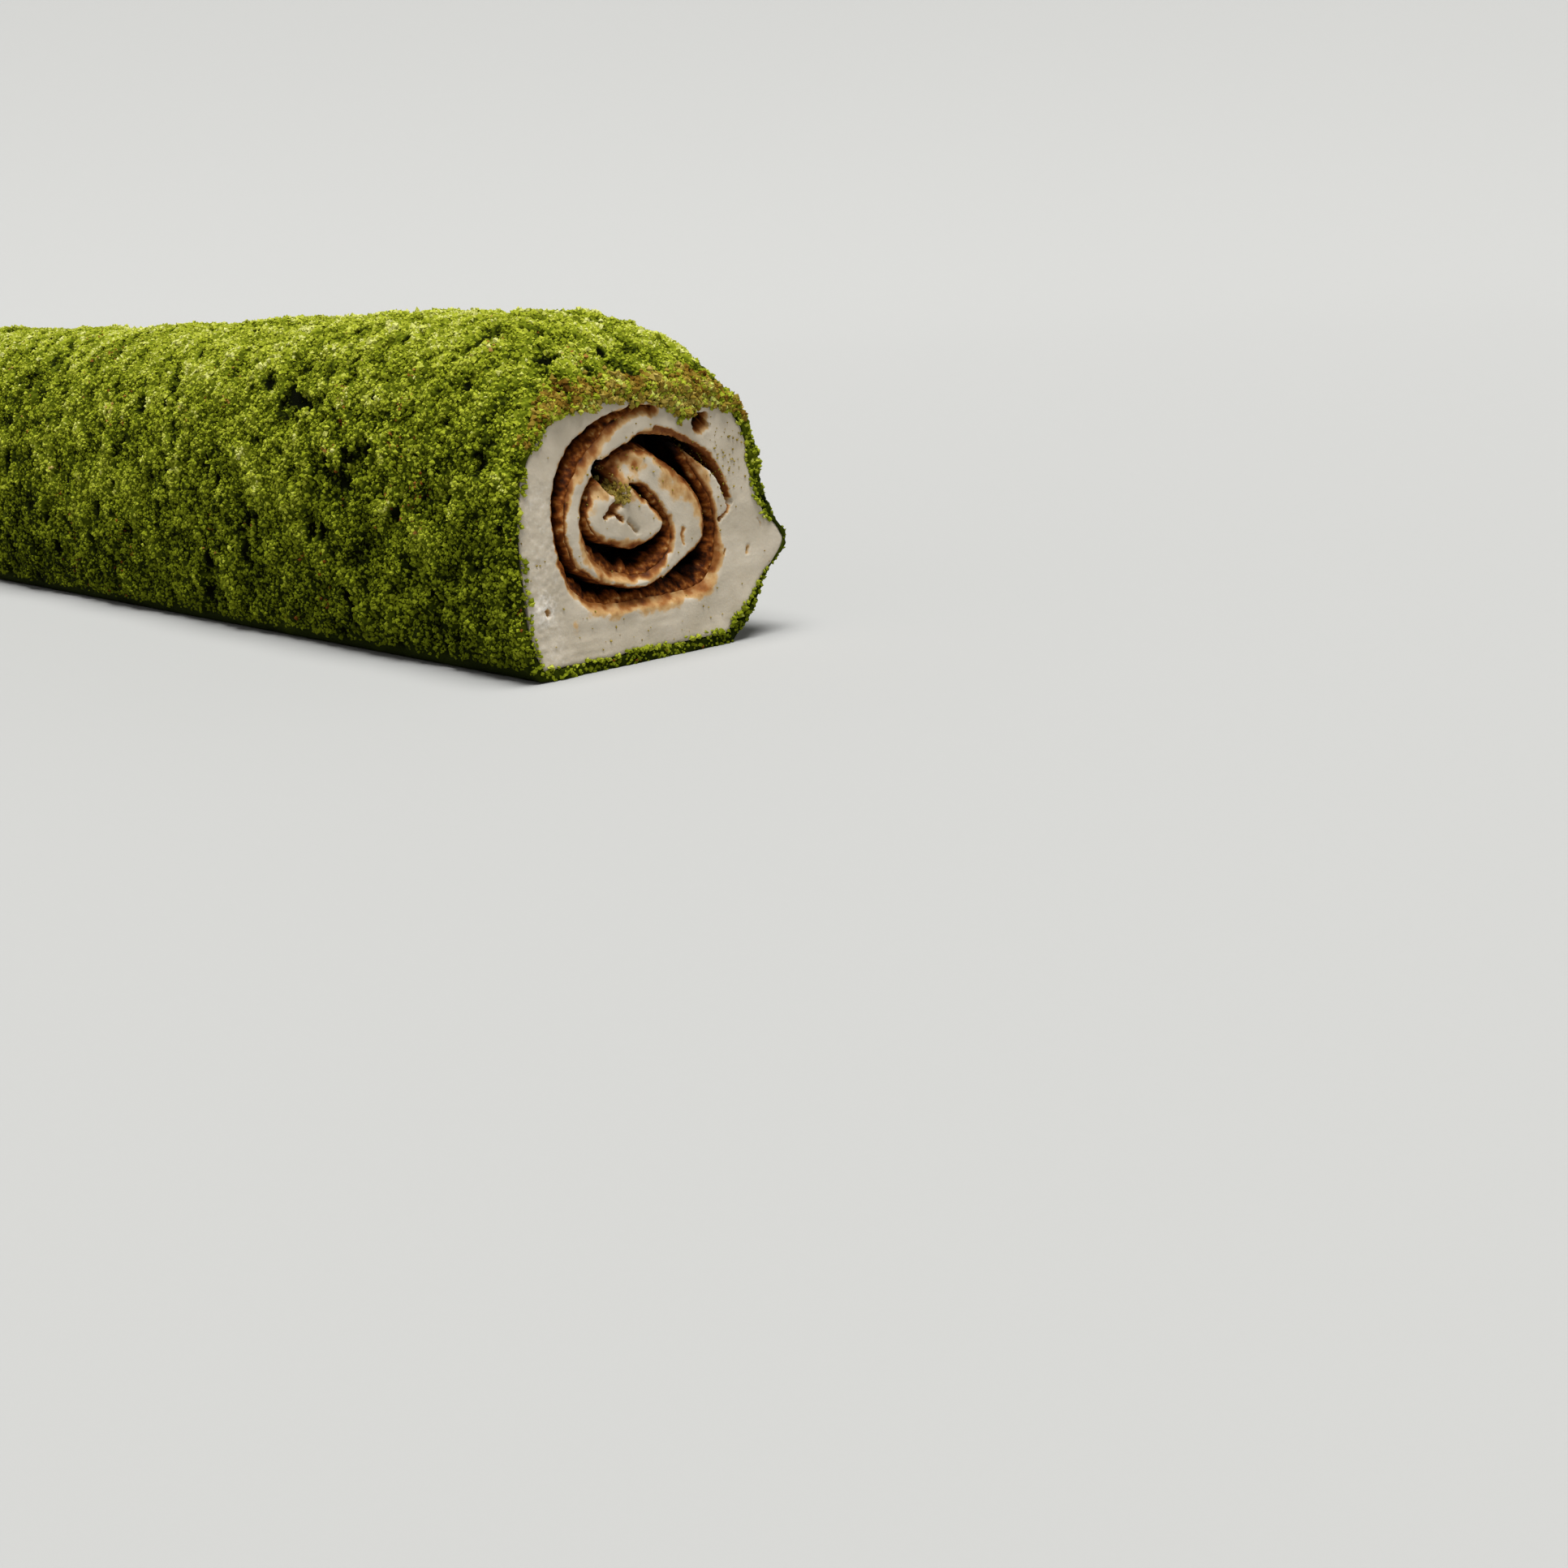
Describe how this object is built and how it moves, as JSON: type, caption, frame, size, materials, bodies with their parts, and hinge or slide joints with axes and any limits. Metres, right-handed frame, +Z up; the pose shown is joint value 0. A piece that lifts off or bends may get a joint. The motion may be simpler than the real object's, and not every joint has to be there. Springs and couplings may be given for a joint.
{
  "type": "turkish delight roll",
  "caption": "Long roll of pale soft delight wound round a cocoa cream spiral, coated in ground pistachio and cut square at both ends.",
  "frame": {"origin": "on the surface the roll rests on, under the middle of its bounding box", "axes": "+Z up; +X along the roll, out of the cut end that faces the viewer in the picture; +Y to the right across that cut, towards the sheet's nose"},
  "size_m": [0.24, 0.0482, 0.0481],
  "materials": {
    "delight": "soft, slightly waxy off-white delight",
    "cream": "smeared cocoa cream, satin",
    "pistachio": "coarse ground pistachio, matt"
  },
  "bodies": {
    "root": {"delight_sheet": "delight", "cocoa_cream": "cream", "pistachio_coat": "pistachio"}
  },
  "joints": []
}
